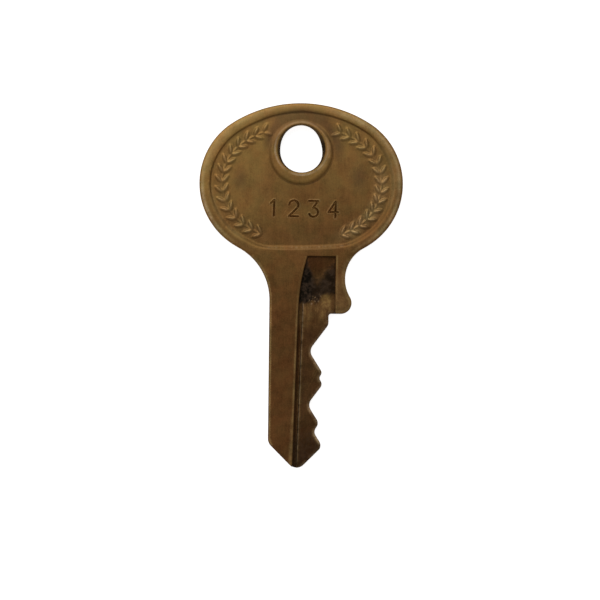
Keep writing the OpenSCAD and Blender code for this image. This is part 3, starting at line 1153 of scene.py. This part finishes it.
neck_films = ((4.6, -11.3, 0.5, 1.1), (5.5, -13.5, 0.5, 0.6), (-3.3, -11.2, 0.4, 1.6))
film = on_land * np.maximum(0.85 * step_over(y, (-11.5, -9.5)), step_over(0.7 * x - y, (25, 32)))
# The groove's floor takes the red film both as grime and as painted shade
film = np.maximum(film, 0.9 * in_groove * (1 - burr_line))
film += 0.45 * front * sum(spot(*place) for place in neck_films)
# A red film between the leaves, which also paints their shade a deeper, redder brown
film += 0.36 * band * (1 - leaf_up) * front
film += 0.4 * in_field * spot(0, -1.4, 4, 2)
film = np.maximum(film, 0.4 * stamped)
film += 0.25 * in_field * np.exp(-(((y + 5.6) / 1.8) ** 2))
film = np.clip(film + 0.25 * on_land * mottle(p, 1.3, seed=6.6), 0, 1) * (1 - worn)

# Pale colour for the painted highlight on the rim's left edge and upper right
rim_pallor_and_highlight = 0.7 * toward(195, (0.94, 1)) * bump(e, 0.25, 0.3)
rim_pallor_and_highlight = np.maximum(rim_pallor_and_highlight, 0.3 * facing(p, (0, 0), 40))
# Pale colours for rubbed brass and for painted highlights
pallor_and_highlights = {
    "rim": rim_pallor_and_highlight * (rim < 0) * (neck > -0.4),
    "collar": bump(hole_away, 3.15, 0.5) * (1 - 0.6 * right_lip),
    "sprays": 0.35 * leaf_up**3,
    "figures": 0.7 * beside_strokes,
    # Pale colour for the painted highlight on the wall over the neck
    "wall over the neck": 0.9 * bump(neck, 0.25, 0.34) * (rim > 0),
    # Pale colour for the painted highlight on the burr
    "burr": burr_line,
    "crust": 2 * flecks * on_land,
    # Pale colour for the rubbed cut edges and their painted highlight
    "cuts": 0.9 * on_land * bump(e, 0.1, 0.4) * (x > 0),
}
layers = {
    "worn": np.clip(worn, 0, 1),
    "pale": np.clip(strongest(pallor_and_highlights), 0, 1) * on_faces,
    "tone": tone,
    "stain": np.maximum(stain * front, 0.15 * in_field),
    "film": film,
    "dirt": np.clip(strongest(soiling_and_shade), 0, 1),
    "land": on_land * (1 - 0.5 * rubbed),
}
for name, values in layers.items():
    set_attribute(mesh, name, values)

co[:, 1] += bow_y
co[:, 2] += stock / 2
mesh.vertices.foreach_set("co", (co * MM).ravel().astype(np.float32))
mesh.polygons.foreach_set("use_smooth", [True] * len(mesh.polygons))
mesh.set_sharp_from_angle(angle=math.radians(42))
mesh.update()

bow_brown = (0.385, 0.215, 0.062, 1)
# The blade's brown, darkened by painted falloff of light
blade_brown_and_shade = (0.16, 0.0715, 0.023, 1)
land_brown = (0.105, 0.052, 0.019, 1)
bright_brass = (0.53, 0.355, 0.142, 1)
pale_brass = (0.68, 0.485, 0.29, 1)
amber_brass = (0.5, 0.31, 0.09, 1)
# Colour of the red film, which also paints the shade in the groove and between the leaves
red_film_and_shade = (0.086, 0.034, 0.0105, 1)
# Colour of the stains and of the painted shade laid with them
dark_stain_and_shade = (0.158, 0.086, 0.036, 1)
# Colours of the crust, which also paint the shade at the foot of walls, in the hole and under the
# stop
crust_and_shade_black = (0.009, 0.0068, 0.0045, 1)
crust_and_shade_brown = (0.056, 0.035, 0.022, 1)

tree = bare_tree(brass)
coords = add_node("ShaderNodeTexCoord").outputs["Object"]
mm = scaled(coords, 1 / MM)


def painted(name):
    kind = "ShaderNodeAttribute"
    return add_node(kind, attribute_name=name, attribute_type="GEOMETRY").outputs["Fac"]


def clouds(size, detail=4.0, roughness=0.55, stretch=None, turn=0.0):
    """Noise from 0 to 1 with features of the given size in millimetres, stretched if asked."""
    vector = mm
    if stretch:
        vector = result("ShaderNodeVectorRotate", {"Vector": mm, "Angle": turn})
        vector = result("ShaderNodeMapping", {"Vector": vector, "Scale": stretch})
    return result(
        "ShaderNodeTexNoise",
        {"Vector": vector, "Scale": 1 / size, "Detail": detail, "Roughness": roughness},
    )


def swing(noise_value, low, high):
    """Noise brought to the range from low to high."""
    return between(noise_value, 0.3, 0.7, low, high)


def plus(base, extra, amount, clamp=False):
    """The base with so much of the extra added to it."""
    return calc("MULTIPLY_ADD", extra, amount, base, clamp=clamp)


def blend(factor, a, b, mode="MIX"):
    sides = {0: factor, 6: a, 7: b}
    return add_node("ShaderNodeMix", sides, data_type="RGBA", blend_type=mode).outputs[2]


layer = {name: painted(name) for name in layers}
blotches = clouds(4.5, 3.0)
warmth = clouds(2.2, 3.0)
patches = clouds(1.3, 4.0, 0.6)
clumps = clouds(0.7, 2.0, 0.5)
crumbs = clouds(0.32, 4.0, 0.7)
grain = clouds(0.14, 3.0, 0.7)
streaks = clouds(1.0, 3.0, 0.6, (7.0, 0.5, 1.0))
scratches = clouds(1.0, 2.0, 0.5, (9.0, 0.22, 1.0), 0.5)
scratches = between(scratches, 0.66, 0.72)

# Painted falloff of light from the bow's brown to the blade's
colour = blend(layer["tone"], bow_brown, blade_brown_and_shade)
colour = blend(layer["land"], colour, land_brown)
colour = blend(calc("MULTIPLY", layer["film"], 0.8), colour, red_film_and_shade)
stained_and_shaded = between(blotches, 0.52, 0.75, 0.0, 0.22)
stained_and_shaded = calc("ADD", layer["stain"], stained_and_shaded, clamp=True)
colour = blend(calc("MULTIPLY", stained_and_shaded, 0.8), colour, dark_stain_and_shade)
# Rubbed brass and painted highlights both take the bared colour, mixed in by the worn layer
bared_and_highlit = blend(layer["pale"], blend(layer["land"], bright_brass, amber_brass), pale_brass)
shine = between(patches, 0.3, 0.65, 0.6, 1.0)
shine = calc("MULTIPLY", layer["worn"], shine, clamp=True)
shine = plus(shine, scratches, 0.07, clamp=True)
colour = blend(shine, colour, bared_and_highlit)

# The metal is a little lighter and darker from place to place, most on the blade and the land
uneven = swing(patches, -0.1, 0.09)
uneven = calc("ADD", uneven, swing(grain, -0.11, 0.11))
uneven = calc("ADD", uneven, swing(streaks, -0.05, 0.05))
more = plus(1.0, calc("ADD", layer["tone"], layer["land"]), 0.5)
level = plus(1.0, uneven, more)
ruddy = between(warmth, 0.35, 0.65, -0.04, 0.04)
paler = plus(level, ruddy, -0.6)
redder = calc("ADD", level, ruddy)
tint = result("ShaderNodeCombineXYZ", {"X": redder, "Y": paler, "Z": paler})
colour = blend(1.0, colour, tint, "MULTIPLY")

# Dirt, crust and painted shade darken the metal through one mask
ragged = plus(plus(layer["dirt"], patches, 0.35), crumbs, 0.55)
soil_and_shade = between(ragged, 0.55, 1.4)
lumps = between(calc("ADD", crumbs, clumps), 0.86, 1.2)
colour = blend(soil_and_shade, colour, blend(lumps, crust_and_shade_black, crust_and_shade_brown))

roughness = swing(grain, 0.41, 0.51)
roughness = calc("ADD", roughness, swing(patches, -0.03, 0.04))
roughness = plus(roughness, shine, -0.06)
roughness = plus(roughness, soil_and_shade, 0.4, clamp=True)
relief = calc("MULTIPLY", grain, 0.003)
relief = plus(relief, streaks, 0.003)
relief = plus(relief, patches, 0.006)
relief = plus(relief, scratches, -0.002)
normal = result("ShaderNodeBump", {"Strength": 1.0, "Distance": MM, "Height": relief})
surface = result(
    "ShaderNodeBsdfPrincipled",
    {"Base Color": colour, "Metallic": plus(1.0, soil_and_shade, -0.9), "Roughness": roughness,
     "Specular IOR Level": plus(0.5, soil_and_shade, -0.4), "Specular Tint": (0.42, 0.36, 0.28, 1),
     "Normal": normal},
)
add_node("ShaderNodeOutputMaterial", {"Surface": surface})

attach(key, "root")
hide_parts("key")

# The table: a softly lit white board, far wider than the key. It shows its face only from
# above, so that the back of the key can be seen through it from below.
paper = bpy.data.materials.new("white_board")
tree = bare_tree(paper)
board = result("ShaderNodeBsdfDiffuse", {"Color": (0.86, 0.86, 0.86, 1)})
glow = result("ShaderNodeEmission", {"Color": (1, 1, 1, 1), "Strength": 0.84})
lit = result("ShaderNodeAddShader", {0: board, 1: glow})
clear = result("ShaderNodeBsdfTransparent")
underside = add_node("ShaderNodeNewGeometry").outputs["Backfacing"]
shown = result("ShaderNodeMixShader", {0: underside, 1: lit, 2: clear})
add_node("ShaderNodeOutputMaterial", {"Surface": shown})
table_half = 0.6
table_top = -2e-5
table_mesh = bpy.data.meshes.new("table")
table_corners = [
    (table_half * across, table_half * along, table_top)
    for across, along in ((-1, -1), (1, -1), (1, 1), (-1, 1))
]
table_mesh.from_pydata(table_corners, [], [(0, 1, 2, 3)])
table_mesh.materials.append(paper)
table = placed("table", table_mesh)
table.visible_diffuse = False
table.visible_glossy = False
table.visible_shadow = False
table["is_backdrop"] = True

# The light: a dim grey room over a pale floor, and one wide soft window beyond the key's bow,
# which puts a highlight on each slope that turns towards it.
window_size = (0.7, 0.5)
window_place = Vector((-0.14, 0.38, 0.5))
window_aim = Vector((0, 0.01, 0))
scene = bpy.context.scene
world = bpy.data.worlds.new("room")
scene.world = world
tree = bare_tree(world)
direction = add_node("ShaderNodeTexCoord").outputs["Generated"]
upward = add_node("ShaderNodeSeparateXYZ", {"Vector": direction}).outputs["Z"]
room = blend(between(upward, -0.05, 0.05), (0.65, 0.65, 0.65, 1), (0.34, 0.34, 0.34, 1))
sky = result("ShaderNodeBackground", {"Color": room, "Strength": 1.0})
add_node("ShaderNodeOutputWorld", {"Surface": sky})

light = bpy.data.lights.new("window", "AREA")
light.shape = "RECTANGLE"
light.size, light.size_y = window_size
light.energy = 1.5
window = placed("window", light)
window.location = window_place
window.rotation_euler = (window_aim - window_place).to_track_quat("-Z", "Y").to_euler()

# The camera looks straight down on the key through a long lens, so that its sides hardly show.
# The key lies a little turned in the picture.
shot_width = 0.0707
shot_height = 0.45
shot_middle = (0.00001, -0.00171)
lean = math.radians(0.619)
camera = placed("camera", bpy.data.cameras.new("camera"))
camera.data.sensor_width = 36
camera.data.lens = camera.data.sensor_width * shot_height / shot_width
camera.data.clip_start = 0.01
camera.data.clip_end = 10
camera.location = (*shot_middle, high.z + shot_height)
camera.rotation_euler = (0, 0, lean)
scene.camera = camera
scene.view_settings.view_transform = "Standard"
scene.view_settings.look = "None"

low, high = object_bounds()
